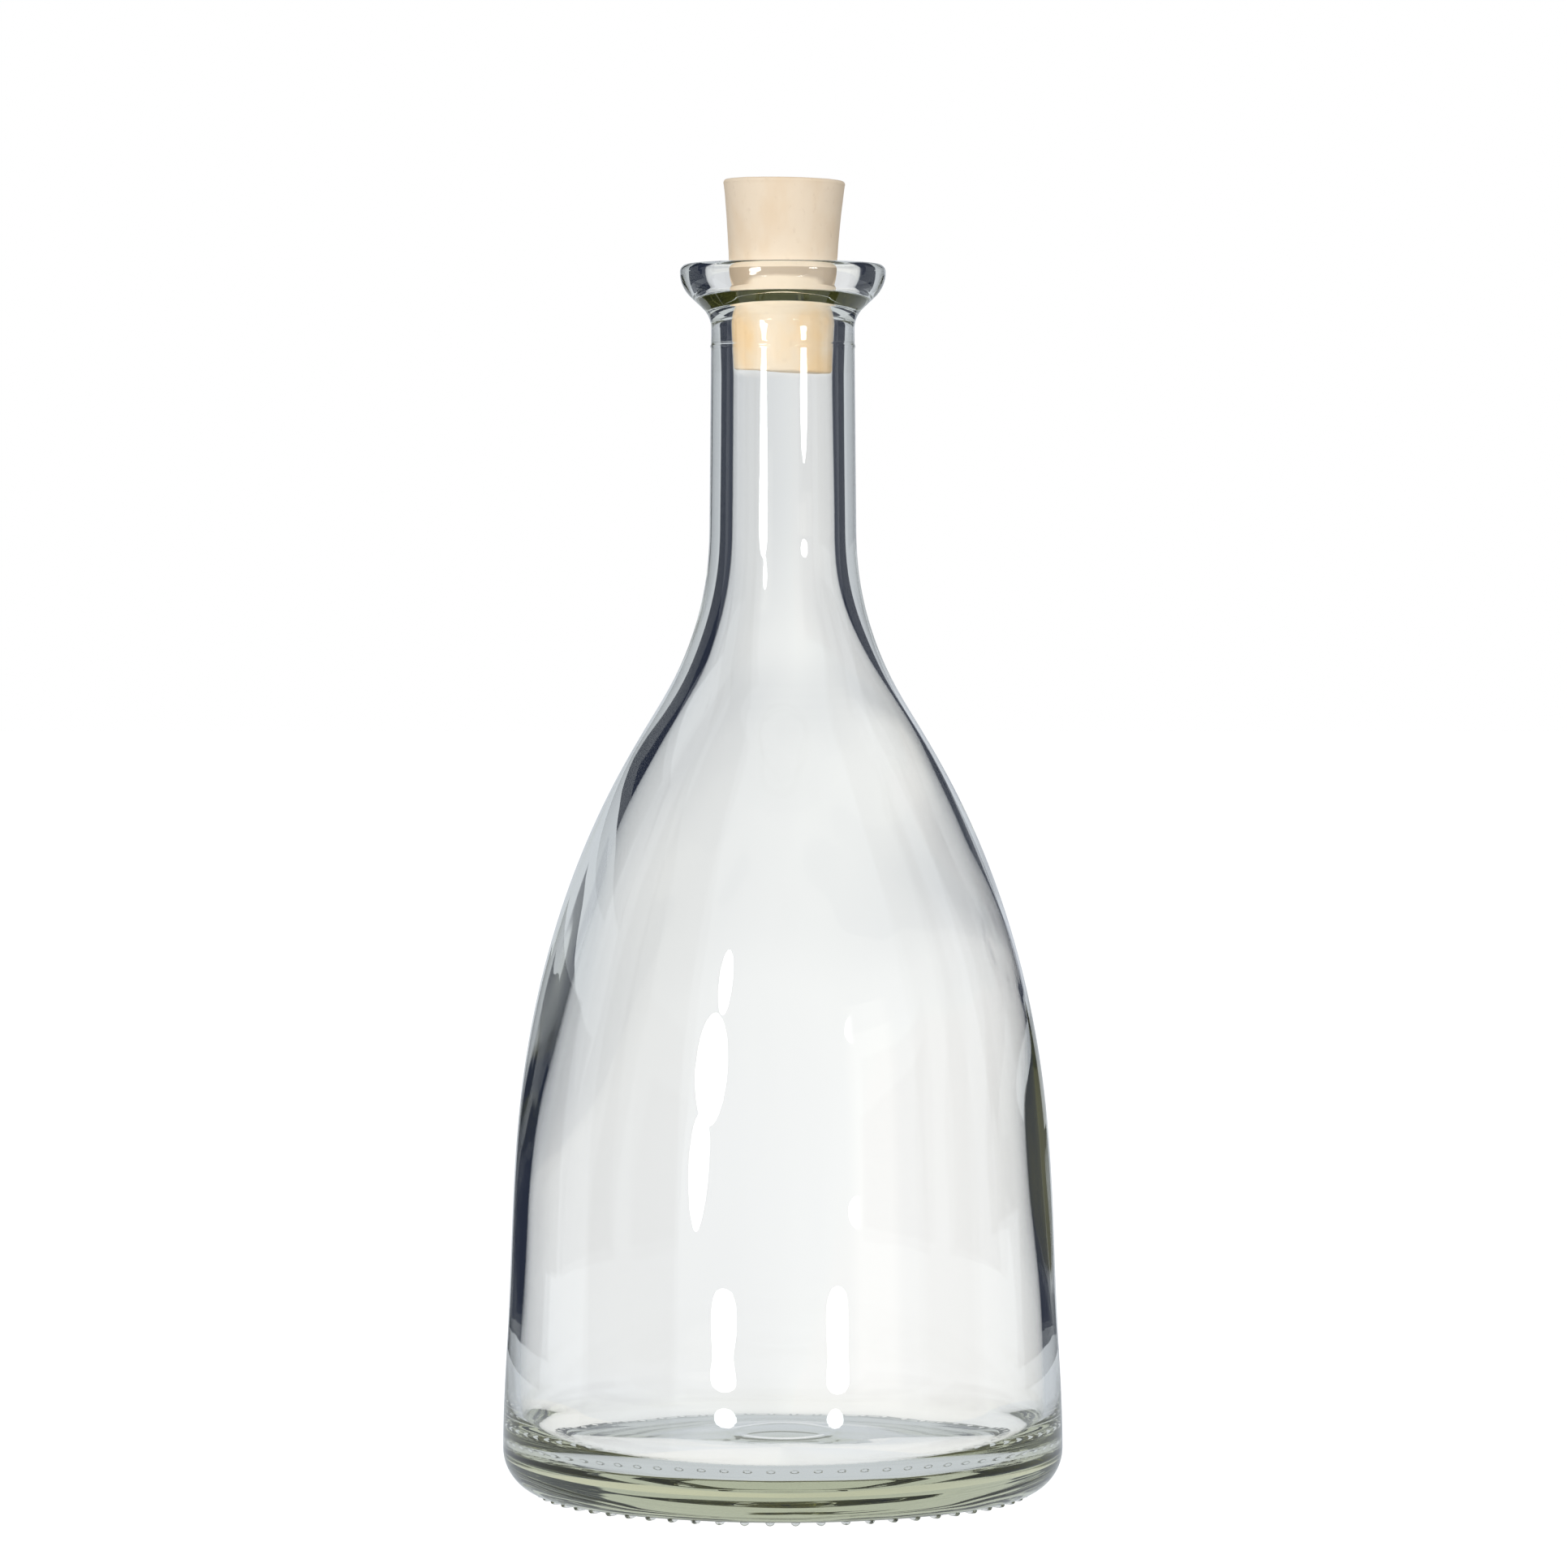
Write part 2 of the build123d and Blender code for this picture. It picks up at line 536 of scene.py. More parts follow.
def clouded_group() -> bpy.types.NodeTree:
    """Gives the group of clouds that the glass and the cork share, and makes it once.

    Returns:
        A group with the inputs Size, Stretch, Detail and Seed, which puts out a Value from 0 to
        1 that drifts over the piece. Stretch draws the clouds out along the bottle's axis.
    """
    name = "drawn_clouds"
    if name in bpy.data.node_groups:
        return bpy.data.node_groups[name]
    group = bpy.data.node_groups.new(name, "ShaderNodeTree")
    for title, value in (("Size", 0.01), ("Stretch", 1.0), ("Detail", 2.0), ("Seed", 0.0)):
        socket = group.interface.new_socket(title, in_out="INPUT", socket_type="NodeSocketFloat")
        socket.default_value = value
    group.interface.new_socket("Value", in_out="OUTPUT", socket_type="NodeSocketFloat")
    sheet = NodeSheet(group)
    given = sheet.add("NodeGroupInput").outputs
    place = sheet.add("ShaderNodeTexCoord").outputs["Object"]
    across = sheet.maths("DIVIDE", 1.0, given["Size"])
    along = sheet.maths("DIVIDE", across, given["Stretch"])
    scale = sheet.add("ShaderNodeCombineXYZ", {0: across, 1: across, 2: along}).outputs[0]
    drawn = sheet.add("ShaderNodeVectorMath", {0: place, 1: scale}, operation="MULTIPLY")
    noise = sheet.add(
        "ShaderNodeTexNoise",
        {"Vector": drawn.outputs[0], "W": given["Seed"], "Scale": 1.0, "Detail": given["Detail"]},
        noise_dimensions="4D",
    )
    sheet.add("NodeGroupOutput", {"Value": noise.outputs["Fac"]})
    return group


@dataclass(frozen=True)
class Clouds:
    """Soft clouds that drift over a piece, from the group that the materials share.

    Attributes:
        size: Width of one cloud.
        stretch: How many times taller than wide a cloud is.
        detail: How many finer layers lie on the first one.
        seed: Number that picks one pattern of clouds.
    """

    size: float
    stretch: float
    detail: float
    seed: float

    def value(self, sheet: NodeSheet) -> bpy.types.NodeSocket:
        """Places the shared group in a material and returns its value."""
        node = sheet.add("ShaderNodeGroup", node_tree=clouded_group())
        for title in ("Size", "Stretch", "Detail", "Seed"):
            node.inputs[title].default_value = getattr(self, title.lower())
        return node.outputs["Value"]


@dataclass(frozen=True)
class Backdrop:
    """Tones of what is seen through the glass, alike from each of the four sides.

    Attributes:
        name: Name of the node group.
        reach: Degrees to each side of a quarter turn that the row of tones can cover.
        tones: Degrees to the right of a quarter turn and the tone there, from left to right.
        rise: Degrees above the level at which the fade starts and ends.
        fade: Factor on the tones below the fade and above it.
    """

    name: str = "backdrop_tone"
    reach: float = 30.0
    tones: tuple[tuple[float, Colour], ...] = (
        (-25.0, (0.92, 0.94, 0.97)),
        (-12.0, (0.94, 0.95, 0.96)),
        (-6.0, (0.91, 0.92, 0.93)),
        (0.0, (0.94, 0.95, 0.96)),
        (6.0, (1.08, 1.09, 1.08)),
        (12.0, (1.24, 1.25, 1.24)),
        (25.0, (1.12, 1.14, 1.15)),
    )
    rise: Span = (-3.0, 2.0)
    fade: tuple[Colour, Colour] = ((1.02, 1.02, 1.02), (0.80, 0.81, 0.83))

    def group(self) -> bpy.types.NodeTree:
        """Gives the node group of the tones, and makes it once.

        Returns:
            A group with the input Way, a direction away from the bottle, and the output Tone.
        """
        if self.name in bpy.data.node_groups:
            return bpy.data.node_groups[self.name]
        group = bpy.data.node_groups.new(self.name, "ShaderNodeTree")
        group.interface.new_socket("Way", in_out="INPUT", socket_type="NodeSocketVector")
        group.interface.new_socket("Tone", in_out="OUTPUT", socket_type="NodeSocketColor")
        sheet = NodeSheet(group)
        way = sheet.add("NodeGroupInput").outputs["Way"]
        parts = sheet.add("ShaderNodeSeparateXYZ", {0: way}).outputs
        across = sheet.add("ShaderNodeCombineXYZ", {0: parts["X"], 1: parts["Y"]}).outputs[0]
        reach = sheet.add("ShaderNodeVectorMath", {0: across}, operation="LENGTH").outputs["Value"]
        rise = sheet.maths("DEGREES", sheet.maths("ARCTAN2", parts["Z"], reach))
        fade = sheet.mix(sheet.ramp(rise, *self.rise, 0.0, 1.0), *self.fade)
        tones = self.row(sheet, sheet.azimuth(parts))
        tone = sheet.add("ShaderNodeVectorMath", {0: tones, 1: fade}, operation="MULTIPLY")
        sheet.add("NodeGroupOutput", {"Tone": tone.outputs[0]})
        return group

    def row(self, sheet: NodeSheet, azimuth: bpy.types.NodeSocket) -> bpy.types.NodeSocket:
        """Repeats the row of tones at each quarter turn.

        Args:
            sheet: Sheet of the group.
            azimuth: Degrees to the right of dead ahead.

        Returns:
            The tone at that angle.
        """
        turns = sheet.maths("ROUND", sheet.maths("DIVIDE", azimuth, QUARTER))
        off = sheet.maths("SUBTRACT", azimuth, sheet.maths("MULTIPLY", turns, QUARTER))
        place = sheet.maths("ADD", sheet.maths("DIVIDE", off, 2 * self.reach), 0.5)
        ramp = sheet.add("ShaderNodeValToRGB", {"Fac": place})
        ramp.color_ramp.interpolation = "B_SPLINE"
        while len(ramp.color_ramp.elements) < len(self.tones):
            ramp.color_ramp.elements.new(0.5)
        for element, (angle, colour) in zip(ramp.color_ramp.elements, self.tones, strict=True):
            element.position = angle / (2 * self.reach) + 0.5
            element.color = (*colour, 1.0)
        return ramp.outputs["Color"]


@dataclass(frozen=True)
class GlassFinish:
    """Clear moulded glass: polished, faintly rippled, with a trace of green in its depth.

    Attributes:
        name: Name of the material.
        index: Refractive index.
        depth_colour: Colour that thick glass takes on.
        depth_density: How fast it takes it on, per metre.
        ripple: Clouds of the broad ripples.
        ripple_height: Height of the broad ripples.
        drawn: Clouds of the fine ripples, drawn out along the axis.
        drawn_height: Height of the fine ripples.
        shadow_colour: Colour of the light that passes to the floor.
    """

    name: str = "clear_moulded_glass"
    index: float = 1.52
    depth_colour: Colour = (0.54, 0.56, 0.10)
    depth_density: float = 9.0
    ripple: Clouds = Clouds(size=0.016, stretch=2.5, detail=1.0, seed=0.3)
    ripple_height: float = 0.00004
    drawn: Clouds = Clouds(size=0.005, stretch=6.0, detail=1.0, seed=4.1)
    drawn_height: float = 0.000003
    shadow_colour: Colour = (0.98, 0.985, 0.98)

    def build(self) -> bpy.types.Material:
        """Builds the material."""
        material, sheet = new_material(self.name)
        ripple, drawn = self.ripple.value(sheet), self.drawn.value(sheet)
        coarse = sheet.add(
            "ShaderNodeBump", {"Strength": 1.0, "Distance": self.ripple_height, "Height": ripple}
        )
        fine = sheet.add(
            "ShaderNodeBump",
            {
                "Strength": 1.0,
                "Distance": self.drawn_height,
                "Height": drawn,
                "Normal": coarse.outputs[0],
            },
        )
        glass = sheet.add(
            "ShaderNodeBsdfPrincipled",
            {
                "Base Color": (1.0, 1.0, 1.0, 1.0),
                "Roughness": 0.0,
                "IOR": self.index,
                "Transmission Weight": 1.0,
                "Normal": fine.outputs[0],
            },
        )
        passing = sheet.add("ShaderNodeBsdfTransparent", {"Color": (*self.shadow_colour, 1.0)})
        shadow = sheet.add("ShaderNodeLightPath").outputs["Is Shadow Ray"]
        surface = sheet.add(
            "ShaderNodeMixShader", {0: shadow, 1: glass.outputs[0], 2: passing.outputs[0]}
        )
        depth = sheet.add(
            "ShaderNodeVolumeAbsorption",
            {"Color": (*self.depth_colour, 1.0), "Density": self.depth_density},
        )
        sheet.add(
            "ShaderNodeOutputMaterial",
            {"Surface": surface.outputs[0], "Volume": depth.outputs[0]},
        )
        return material


@dataclass(frozen=True)
class CorkFinish:
    """Dry natural cork: pale and close-grained, with a band of painted shadow, standing in for the
    thick glass rim's shade, just inside the mouth.

    Attributes:
        name: Name of the material.
        pale: Colour of most of the cork.
        warm: Colour of its cloudy patches.
        moist: Colour of the patches below the band of painted shadow.
        pit: Colour of the pores and the specks.
        rim_shadow_colour: Colour of the painted shadow that the glass rim casts in a band round the
            cork.
        mottle: Clouds of the patches.
        grain: Clouds of the grain and the specks.
        pores: Clouds of the pores.
        patch_span: Values of the mottle between which a patch sets in.
        speck_span: Values of the grain between which a speck sets in.
        speck_share: How strong the specks are.
        pit_span: Values of the pores' clouds between which a pore sets in.
        pit_share: How strong the pores are.
        rim_shadow_low: Height of the lower edge of the band of painted shadow.
        rim_shadow_high: Height of its upper edge.
        rim_shadow_edge: Half the height over which it fades.
        rim_shadow_wander: Height between the lowest and the highest places of its edges.
        rim_shadow_share: How dark the painted shadow is.
        moist_span: Depths below the band between which the patches turn moist.
        grain_relief: Relief of the grain, where that of a full pore would be 1.
        relief_strength: Strength of the relief.
        relief_depth: Depth of the relief.
        roughness_span: Values of the grain between which the roughness changes.
        roughness: Roughness at the two ends of that span.
        shine: Strength of the highlight, where a plain surface has 0.5.
    """

    name: str = "pale_natural_cork"
    pale: Colour = (0.90, 0.76, 0.59)
    warm: Colour = (0.86, 0.69, 0.50)
    moist: Colour = (0.92, 0.67, 0.39)
    pit: Colour = (0.50, 0.36, 0.24)
    rim_shadow_colour: Colour = (0.34, 0.24, 0.15)
    mottle: Clouds = Clouds(size=0.007, stretch=1.8, detail=3.0, seed=1.7)
    grain: Clouds = Clouds(size=0.0009, stretch=1.4, detail=3.0, seed=8.2)
    pores: Clouds = Clouds(size=0.0020, stretch=0.7, detail=2.0, seed=5.5)
    patch_span: Span = (0.40, 0.66)
    speck_span: Span = (0.58, 0.76)
    speck_share: float = 0.14
    pit_span: Span = (0.74, 0.80)
    pit_share: float = 0.6
    rim_shadow_low: float = 0.2177
    rim_shadow_high: float = 0.2186
    rim_shadow_edge: float = 0.00014
    rim_shadow_wander: float = 0.0005
    rim_shadow_share: float = 0.62
    moist_span: Span = (0.004, 0.002)
    grain_relief: float = 0.35
    relief_strength: float = 0.5
    relief_depth: float = 0.00025
    roughness_span: Span = (0.3, 0.7)
    roughness: Span = (0.78, 0.92)
    shine: float = 0.3

    def build(self) -> bpy.types.Material:
        """Builds the material."""
        material, sheet = new_material(self.name)
        mottle, grain = self.mottle.value(sheet), self.grain.value(sheet)
        speck = sheet.ramp(grain, *self.speck_span, 0.0, self.speck_share)
        pit = sheet.ramp(self.pores.value(sheet), *self.pit_span, 0.0, self.pit_share)
        specked = sheet.mix(speck, self.with_rim_shadow(sheet, mottle), self.pit)
        fine_relief = sheet.maths("MULTIPLY", grain, self.grain_relief)
        relief = {
            "Strength": self.relief_strength,
            "Distance": self.relief_depth,
            "Height": sheet.maths("SUBTRACT", fine_relief, pit),
        }
        cork = sheet.add(
            "ShaderNodeBsdfPrincipled",
            {
                "Base Color": sheet.mix(pit, specked, self.pit),
                "Roughness": sheet.ramp(grain, *self.roughness_span, *self.roughness),
                "Specular IOR Level": self.shine,
                "Normal": sheet.add("ShaderNodeBump", relief).outputs[0],
            },
        )
        sheet.add("ShaderNodeOutputMaterial", {"Surface": cork.outputs[0]})
        return material

    def with_rim_shadow(self, sheet: NodeSheet, mottle: bpy.types.NodeSocket) -> bpy.types.NodeSocket:
        """Colours the cork's patches and paints the band of shadow that the glass rim casts on it.

        Args:
            sheet: Sheet of the material.
            mottle: Value of the clouds of the patches.

        Returns:
            The colour without grain and pores.
        """
        place = sheet.add("ShaderNodeTexCoord").outputs["Object"]
        height = sheet.add("ShaderNodeSeparateXYZ", {0: place}).outputs["Z"]
        wander = sheet.maths("MULTIPLY_ADD", mottle, self.rim_shadow_wander, -self.rim_shadow_wander / 2)
        level = sheet.maths("ADD", height, wander)
        deep, near = (self.rim_shadow_low - depth for depth in self.moist_span)
        warm = sheet.mix(sheet.ramp(level, deep, near, 1.0, 0.0), self.warm, self.moist)
        body = sheet.mix(sheet.ramp(mottle, *self.patch_span, 0.0, 1.0), self.pale, warm)
        # Painted shadow: a band just under the top of the lip is darkened, standing in for the
        # shade of the thick glass rim.
        low, high, edge = self.rim_shadow_low, self.rim_shadow_high, self.rim_shadow_edge
        rising = sheet.ramp(level, low - edge, low + edge, 0.0, self.rim_shadow_share)
        falling = sheet.ramp(level, high - edge, high + edge, self.rim_shadow_share, 0.0)
        return sheet.mix(sheet.maths("MINIMUM", rising, falling), body, self.rim_shadow_colour)


# The bottle and its cork


@dataclass
class GlassBottle:
    """The moulded glass: bell-shaped body, neck, lip, and a base that stands on knurls.

    The sizes that the CAD source has too keep their names and values. Only the knurls' length
    and width differ: they are measured level with the standing ring here, and at the root inside
    the base there. Angles are in degrees. What the source doesn't have:

    Attributes:
        name: Name of the piece.
        knurl_steps: Inset and drop of each step down the rounded side of a knurl.
        knurl_sides: Corners of a knurl's foot.
        base_ring_radius: Radius of the plain ring in the underside.
        base_ring_depth: How far it stands out.
        base_ring_width: Its full width.
        steps_per_knurl: Faces round the axis for each knurl.
        stand_steps: Rows of faces across the standing ring.
        curve_step: Greatest distance between two points of an outline.
        edge_steps: Steps in each rounding of the neck and the lip.
        heel_steps: Steps in the heel and in the corner of the floor.
        underside_steps: Steps in the underside.
        wall_waves: Unevenness of the inner wall.
        wall_swells: Patches where the inner wall is thicker or thinner.
        wave_rise: Height above the floor's corner over which the inner wall's waves grow.
        wave_fall: Height over which they die away under the cork's seat.
        wave_gap: Height under the seat that stays even.
        floor_waves: Unevenness of the floor.
        floor_fade: Distance over which the floor's waves die away towards the wall.
        floor_gap: Distance from the wall at which they end.
        sharpest: Angle over which an edge stays sharp.
    """

    name: str = "glass_bottle_wavy"
    body_radius: float = 0.0501
    body_height: float = 0.1720
    neck_length: float = 0.0381
    neck_foot_radius: float = 0.0131
    neck_top_radius: float = 0.01275
    flare_height: float = 0.0053
    lip_height: float = 0.0040
    lip_radius: float = 0.01835
    collar_radius: float = 0.0050
    lip_under_share: float = 0.645
    lip_edge_share: float = 0.35
    mouth_radius: float = 0.0139
    mouth_depth: float = 0.0041
    seat_depth: float = 0.00535
    mouth_edge_radius: float = 0.0014
    mouth_corner_radius: float = 0.0009
    seat_edge_radius: float = 0.0008
    throat_radius: float = 0.0250
    bore_radius: float = 0.00885
    cork_depth: float = 0.0197
    cork_taper: float = 0.04569
    heel_radius: float = 0.0080
    heel_turn: float = 68.0
    stand_width: float = 0.0036
    punt_height: float = 0.0056
    floor_height: float = 0.0075
    floor_rise: float = 0.0032
    floor_corner_radius: float = 0.0080
    body_wall: float = 0.0024
    neck_wall: float = 0.0040
    heel_wall: float = 0.0030
    knurl_count: int = 62
    knurl_length: float = 0.0028
    knurl_width: float = 0.0018
    knurl_height: float = 0.00075
    knurl_steps: tuple[Point, ...] = (
        (0.00005, 0.00016),
        (0.00007, 0.00022),
        (0.00011, 0.00018),
        (0.00017, 0.00012),
        (0.00022, 0.00007),
    )
    knurl_sides: int = 16
    mould_ring_drop: float = 0.0053
    mould_ring_proud: float = 0.00015
    mould_ring_width: float = 0.0009
    base_ring_radius: float = 0.0090
    base_ring_depth: float = 0.00025
    base_ring_width: float = 0.0014
    steps_per_knurl: int = 4
    stand_steps: int = 4
    curve_step: float = 0.0024
    edge_steps: int = 8
    heel_steps: int = 12
    underside_steps: int = 48
    wall_waves: tuple[Unevenness, ...] = (
        Unevenness("wall_waves", 0.030, 0.0004, 2.0),
        Unevenness("wall_ribs", 0.006, 0.00007, 12.0),
    )
    wall_swells: tuple[Swell, ...] = (
        Swell("left_shoulder_swell", 180.0, 0.090, 80.0, 0.040, 0.0013),
        Swell("right_shoulder_swell", 0.0, 0.098, 80.0, 0.034, -0.0018),
        Swell("right_neck_foot_swell", 0.0, 0.138, 80.0, 0.028, -0.0015),
        Swell("right_foot_swell", 0.0, 0.058, 50.0, 0.030, 0.0006),
    )
    wave_rise: float = 0.015
    wave_fall: float = 0.02
    wave_gap: float = 0.002
    floor_waves: Unevenness = Unevenness("floor_waves", 0.012, 0.0004)
    floor_fade: float = 0.006
    floor_gap: float = 0.002
    sharpest: float = 40.0
    bell_shares: tuple[tuple[float, float, float], ...] = (
        (0.145, 0.972, 0.00),
        (0.292, 0.945, 0.00),
        (0.400, 0.903, 0.15),
        (0.500, 0.824, 0.40),
        (0.600, 0.698, 0.75),
        (0.700, 0.516, 1.00),
        (0.780, 0.323, 1.15),
        (0.840, 0.168, 1.20),
        (0.890, 0.077, 1.10),
        (0.940, 0.022, 1.03),
    )

    def __post_init__(self) -> None:
        """Works out the sizes that follow from the others."""
        bend = math.radians(self.heel_turn)
        self.heel_height = self.knurl_height + self.heel_radius * math.sin(bend)
        self.heel_centre_radius = self.body_radius - self.heel_radius
        self.stand_outer_radius = self.heel_centre_radius + self.heel_radius * math.cos(bend)
        self.stand_inner_radius = self.stand_outer_radius - self.stand_width
        self.knurl_ring_radius = self.stand_outer_radius - self.stand_width / 2
        self.collar_height = self.body_height + self.neck_length
        self.glass_height = self.collar_height + self.flare_height + self.lip_height
        self.seat_foot_height = self.glass_height - self.cork_depth
        flare = math.atan2(self.flare_height, self.lip_radius - self.neck_top_radius)
        under = self.lip_under_share * self.lip_height
        self.lip_under_radius = under / math.tan((math.radians(90) - flare) / 2)
        self.lip_edge_radius = self.lip_edge_share * self.lip_height
        self.mouth_foot_height = self.glass_height - self.mouth_depth
        self.seat_height = self.glass_height - self.seat_depth
        self.seat_radius = self.bore_radius + self.cork_taper * (self.cork_depth - self.seat_depth)
        self.bore_foot_radius = self.neck_foot_radius - self.neck_wall
        self.inner_foot_radius = self.body_radius - self.heel_wall
        self.inner_foot_height = self.floor_height + self.floor_corner_radius
        self.floor_edge_radius = self.inner_foot_radius - self.floor_corner_radius
        self.pitch = math.tau / self.knurl_count

    def bell(self, inside: bool) -> list[Point]:
        """Lists the stations of the bell, from the heel up.

        Args:
            inside: True for the inner wall, False for the outer one.

        Returns:
            Radius and height of each station.
        """
        stations = []
        for height_share, radius_share, wall_share in self.bell_shares:
            height = self.heel_height + height_share * (self.body_height - self.heel_height)
            spread = self.body_radius - self.neck_foot_radius
            wall = self.body_wall + wall_share * (self.neck_wall - self.body_wall)
            radius = self.neck_foot_radius + radius_share * spread - (wall if inside else 0.0)
            stations.append((radius, height))
        return stations

    def finish_outline(self) -> list[Point]:
        """Draws the neck, the lip and the bore, from the neck's foot over the lip and down."""
        corners = [
            (self.neck_foot_radius, self.body_height),
            (self.neck_top_radius, self.collar_height),
            (self.lip_radius, self.collar_height + self.flare_height),
            (self.lip_radius, self.glass_height),
            (self.mouth_radius, self.glass_height),
            (self.mouth_radius, self.mouth_foot_height),
            (self.seat_radius, self.seat_height),
            (self.bore_radius, self.seat_foot_height),
            (self.bore_foot_radius, self.body_height),
        ]
        radii = [
            self.collar_radius,
            self.lip_under_radius,
            self.lip_edge_radius,
            self.mouth_edge_radius,
            self.mouth_corner_radius,
            self.seat_edge_radius,
            self.throat_radius,
        ]
        line = rounded_line(corners, radii, self.edge_steps)
        ring_height = self.collar_height - self.mould_ring_drop
        neck = [(self.neck_foot_radius, self.body_height)]
        for quarters in range(-3, 4):
            level = ring_height + quarters / 4 * self.mould_ring_width
            share = (level - self.body_height) / self.neck_length
            taper = self.neck_top_radius - self.neck_foot_radius
            neck.append((self.neck_foot_radius + share * taper, level))
        neck = ridged(neck, ring_height, self.mould_ring_proud, self.mould_ring_width)
        return divided([*neck, *line[1:]], self.curve_step)

    def wall_outline(self) -> list[Point]:
        """Draws the whole wall, from the standing ring up outside and down to the floor."""
        heel = arc(
            (self.heel_centre_radius, self.heel_height),
            self.heel_radius,
            -self.heel_turn,
            self.heel_turn,
            self.heel_steps,
        )
        neck_heading = (self.neck_top_radius - self.neck_foot_radius, self.neck_length)
        outside = smooth_curve(
            [heel[-1], *self.bell(False), (self.neck_foot_radius, self.body_height)],
            (0, 1),
            neck_heading,
            self.curve_step,
        )
        finish = self.finish_outline()
        bore_heading = tuple(np.subtract(finish[-1], finish[-2]))
        inside = smooth_curve(
            [
                (self.bore_foot_radius, self.body_height),
                *reversed(self.bell(True)),
                (self.inner_foot_radius, self.inner_foot_height),
            ],
            bore_heading,
            (0, -1),
            self.curve_step,
        )
        corner = arc(
            (self.floor_edge_radius, self.inner_foot_height),
            self.floor_corner_radius,
            0,
            -QUARTER,
            self.heel_steps,
        )
        floor = smooth_curve(
            [(self.floor_edge_radius, self.floor_height), (0, self.floor_height + self.floor_rise)],
            (-1, 0),
            (-1, 0),
            self.curve_step,
        )
        return [*heel, *outside[1:], *finish[1:], *inside[1:], *corner[1:], *floor[1:]]

    def underside_outline(self) -> list[Point]:
        """Draws the underside, from the axis out to the standing ring, with its plain ring."""
        line = tangent_arc(
            (0, self.punt_height),
            (self.stand_inner_radius, self.knurl_height),
            (1, 0),
            self.underside_steps,
        )
        shaped = []
        for radius, height in line:
            share = hump(radius - self.base_ring_radius, self.base_ring_width)
            shaped.append((radius, height - self.base_ring_depth * share))
        return shaped

    def standing_ring(self) -> bpy.types.Object:
        """Models one knurl in its share of the flat ring and copies it round the axis.

        Returns:
            The ring of knurls, whose edges meet those of the wall and the underside.
        """
        level = self.knurl_height
        first = -self.pitch / 2
        line = []
        for i in range(self.stand_steps + 1):
            radius = self.stand_inner_radius + i / self.stand_steps * self.stand_width
            line.append((radius * math.cos(first), radius * math.sin(first), level))
        ring = draw_line("standing_ring", line)
        with editing(ring):
            spin_all(self.steps_per_knurl, self.pitch)
            margin = self.stand_width / (2 * self.stand_steps)
            side = self.pitch / 2 * 0.9  # inside the outermost vertices at each side
            pick_vertices(
                ring,
                lambda v: self.stand_inner_radius + margin
                < v.co.xy.length
                < self.stand_outer_radius - margin
                and abs(math.atan2(v.co.y, v.co.x)) < side,
            )
            bpy.ops.mesh.delete(type="VERT")
            bpy.ops.mesh.select_mode(type="FACE")
            middle = (self.knurl_ring_radius, 0, level)
            bpy.ops.mesh.primitive_circle_add(
                vertices=self.knurl_sides,
                radius=self.knurl_width / 2,
                fill_type="NGON",
                location=middle,
            )
            stretch = self.knurl_length / self.knurl_width
            bpy.ops.transform.resize(value=(stretch, 1, 1), center_override=middle)
            for inset, drop in self.knurl_steps:
                bpy.ops.mesh.inset(thickness=inset, depth=-drop)
            pick_vertices(ring, lambda v: abs(v.co.z - level) < JOIN_DISTANCE)
            bpy.ops.mesh.select_mode(type="EDGE")
            bpy.ops.mesh.bridge_edge_loops()
            spin_all(self.knurl_count - 1, math.tau - self.pitch, copies=True)
        return ring

    def wall_share(self, places: np.ndarray) -> np.ndarray:
        """Gives the share of the wall's waves: full on the inner wall, none at seat and floor."""
        radius, height = np.hypot(places[:, 0], places[:, 1]), places[:, 2]
        outer, inner = np.array(self.bell(False)), np.array(self.bell(True))
        middle = np.interp(height, outer[:, 1], (outer[:, 0] + inner[:, 0]) / 2)
        middle = np.where(height > self.body_height, self.bore_radius + self.neck_wall / 2, middle)
        low = np.clip((height - self.inner_foot_height) / self.wave_rise, 0, 1)
        high = np.clip((self.seat_foot_height - self.wave_gap - height) / self.wave_fall, 0, 1)
        return np.where(radius < middle, np.minimum(low, high), 0.0)

    def floor_share(self, places: np.ndarray) -> np.ndarray:
        """Gives the share of the floor's waves: full on the inside floor, none on the wall."""
        radius, height = np.hypot(places[:, 0], places[:, 1]), places[:, 2]
        under = (self.punt_height + self.floor_height) / 2
        inside = (height > under) & (height < self.inner_foot_height)
        edge = (self.inner_foot_radius - self.floor_gap - radius) / self.floor_fade
        return np.where(inside, np.clip(edge, 0, 1), 0.0)

    def build(self) -> bpy.types.Object:
        """Models the glass as one closed surface."""
        wall = draw_outline(self.name, self.wall_outline())
        underside = draw_outline("underside", self.underside_outline())
        around = self.knurl_count * self.steps_per_knurl
        for part in (wall, underside):
            turn(part, around)
        glass = join([wall, underside, self.standing_ring()])
        for change in (*self.wall_swells, *self.wall_waves):
            change.press(glass, self.wall_share)
        self.floor_waves.press(glass, self.floor_share)
        shade(glass, self.sharpest)
        return glass

    def make(self, finish: bpy.types.Material) -> bpy.types.Object:
        """Builds and dresses the glass and puts it in the place of its CAD node."""
        glass = self.build()
        glass.data.materials.append(finish)
        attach(glass, Body.BOTTLE.value)
        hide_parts("glass_bottle")
        return glass


